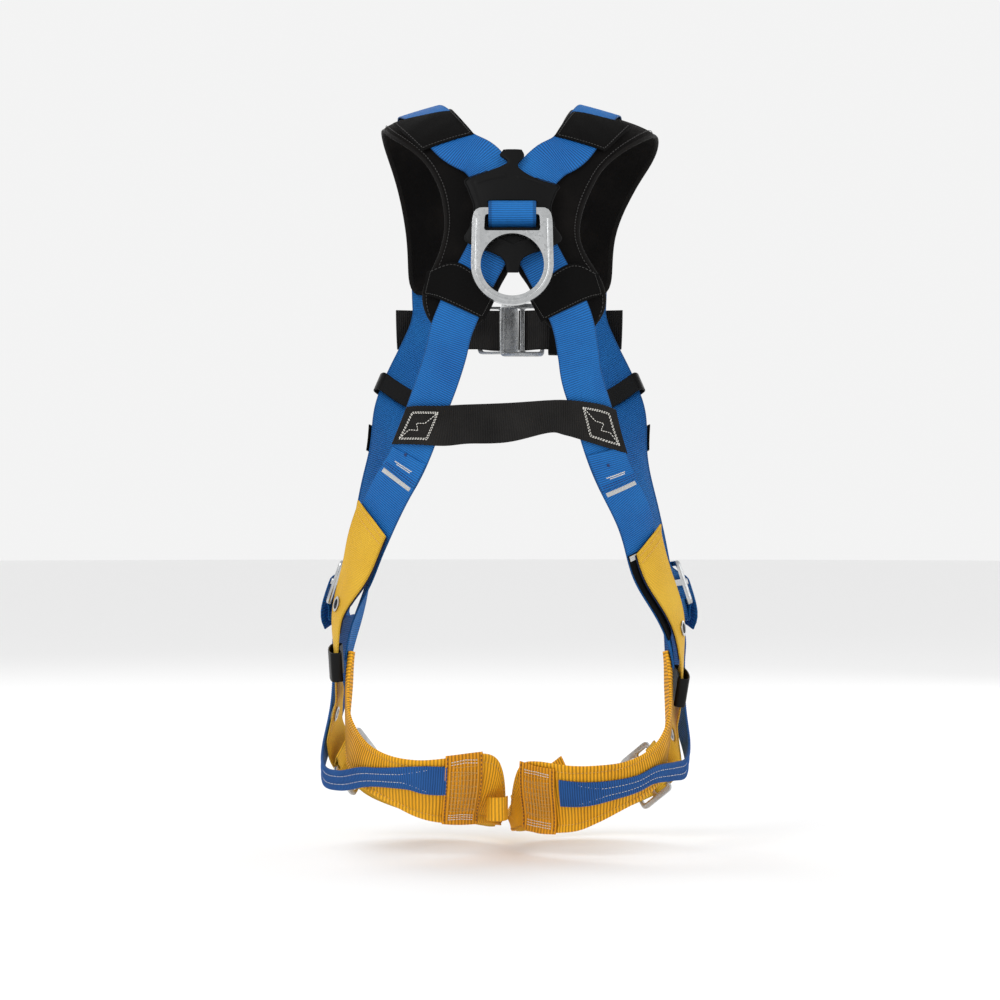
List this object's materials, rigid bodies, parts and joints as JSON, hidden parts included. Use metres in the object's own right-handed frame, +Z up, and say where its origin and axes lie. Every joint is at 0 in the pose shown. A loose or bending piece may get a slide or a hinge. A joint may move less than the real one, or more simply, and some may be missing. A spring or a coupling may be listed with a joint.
{
  "type": "full body safety harness",
  "caption": "Full body fall-arrest harness: webbing straps over shoulders, back and thighs, padded yoke, dorsal D-ring, buckles and grommeted leg straps.",
  "frame": {"origin": "midpoint between the tops of the wearer's shoulders, at the neck line", "axes": "+X to the wearer's right, +Y to the wearer's front (the back of the harness, with the D-ring, faces -Y), +Z up"},
  "size_m": [0.4128, 0.2938, 0.7895],
  "materials": {
    "blue_webbing": "ribbed polyester weave",
    "yellow_webbing": "ribbed polyester weave",
    "orange_patch": "stitched reinforcement webbing",
    "black_webbing": "ribbed polyester weave",
    "pad_fabric": "matte padded mesh",
    "black_plastic": "matte moulded",
    "galvanised_steel": "satin galvanised",
    "grommet_steel": "dull plated"
  },
  "bodies": {
    "harness": {"back_strap": "black_webbing", "centre_loop": "yellow_webbing", "chest_buckle_frame": "galvanised_steel", "chest_buckle_plate": "galvanised_steel", "chest_strap_left": "black_webbing", "chest_strap_right": "black_webbing", "dorsal_loop": "blue_webbing", "dorsal_plate": "black_plastic", "front_sleeve_left": "black_webbing", "front_sleeve_right": "black_webbing", "hip_sleeve_right": "black_webbing", "impact_flap_left": "blue_webbing", "impact_flap_right": "blue_webbing", "leg_buckle_frame_left": "galvanised_steel", "leg_buckle_frame_right": "galvanised_steel", "leg_buckle_loop_left": "yellow_webbing", "leg_buckle_loop_right": "yellow_webbing", "leg_grommet_left_1": "grommet_steel", "leg_grommet_left_2": "grommet_steel", "leg_grommet_left_3": "grommet_steel", "leg_grommet_right_1": "grommet_steel", "leg_grommet_right_2": "grommet_steel", "leg_grommet_right_3": "grommet_steel", "leg_strap_left": "yellow_webbing", "leg_strap_right": "yellow_webbing", "pad_keeper_lower_left": "black_webbing", "pad_keeper_lower_right": "black_webbing", "pad_keeper_upper_left": "black_webbing", "pad_keeper_upper_right": "black_webbing", "seat_band_left": "yellow_webbing", "seat_band_right": "yellow_webbing", "seat_patch_left": "orange_patch", "seat_patch_right": "orange_patch", "seat_strap_left": "blue_webbing", "seat_strap_right": "blue_webbing", "shoulder_pad_left": "pad_fabric", "shoulder_pad_right": "pad_fabric", "shoulder_strap_left": "blue_webbing", "shoulder_strap_right": "blue_webbing", "torso_adjuster_frame_left": "galvanised_steel", "torso_adjuster_frame_right": "galvanised_steel", "torso_loop_left": "blue_webbing", "torso_loop_right": "blue_webbing"},
    "d_ring": {"dorsal_d_ring": "galvanised_steel"},
    "prong_left": {"leg_buckle_prong_left": "galvanised_steel"},
    "prong_right": {"leg_buckle_prong_right": "galvanised_steel"},
    "adjuster_bar_left": {"torso_adjuster_bar_left": "galvanised_steel"},
    "adjuster_bar_right": {"torso_adjuster_bar_right": "galvanised_steel"},
    "keeper_leg_left": {"leg_keeper_left": "black_plastic"},
    "keeper_leg_right": {"leg_keeper_right": "black_plastic"},
    "keeper_lanyard_left": {"lanyard_keeper_left": "black_plastic"},
    "keeper_lanyard_right": {"lanyard_keeper_right": "black_plastic"},
    "keeper_chest": {"chest_keeper": "black_webbing"}
  },
  "joints": [
    {"name": "d_ring_swing", "type": "hinge", "parent": "harness", "child": "d_ring", "pos_m": [0.00218, -0.14487, -0.12363], "axis": [-1, 0, 0], "range_deg": [0, 155]},
    {"name": "prong_lift_left", "type": "hinge", "parent": "harness", "child": "prong_left", "pos_m": [-0.16953, 0.05204, -0.70775], "axis": [0.4091, 0.4812, 0.7753], "range_deg": [0, 8]},
    {"name": "prong_lift_right", "type": "hinge", "parent": "harness", "child": "prong_right", "pos_m": [0.15093, 0.0656, -0.72468], "axis": [0.4337, -0.3556, -0.8279], "range_deg": [0, 8]},
    {"name": "adjuster_slide_left", "type": "slide", "parent": "harness", "child": "adjuster_bar_left", "axis": [0.3202, -0.0468, 0.9462], "range_m": [-0.008, 0]},
    {"name": "adjuster_slide_right", "type": "slide", "parent": "harness", "child": "adjuster_bar_right", "axis": [-0.3111, -0.042, 0.9495], "range_m": [-0.008, 0]},
    {"name": "leg_keeper_slide_left", "type": "slide", "parent": "harness", "child": "keeper_leg_left", "axis": [0.0512, 0.1407, -0.9887], "range_m": [-0.002, 0.006]},
    {"name": "leg_keeper_slide_right", "type": "slide", "parent": "harness", "child": "keeper_leg_right", "axis": [-0.14, 0.1985, -0.9701], "range_m": [-0.004, 0.004]},
    {"name": "lanyard_keeper_slide_left", "type": "slide", "parent": "harness", "child": "keeper_lanyard_left", "axis": [0.3382, 0.4141, 0.8451], "range_m": [-0.01, 0.01]},
    {"name": "lanyard_keeper_slide_right", "type": "slide", "parent": "harness", "child": "keeper_lanyard_right", "axis": [-0.3383, 0.4141, 0.845], "range_m": [-0.01, 0.01]},
    {"name": "chest_keeper_slide", "type": "slide", "parent": "harness", "child": "keeper_chest", "axis": [-0.9933, -0.1142, 0.017], "range_m": [-0.002, 0.003]}
  ]
}
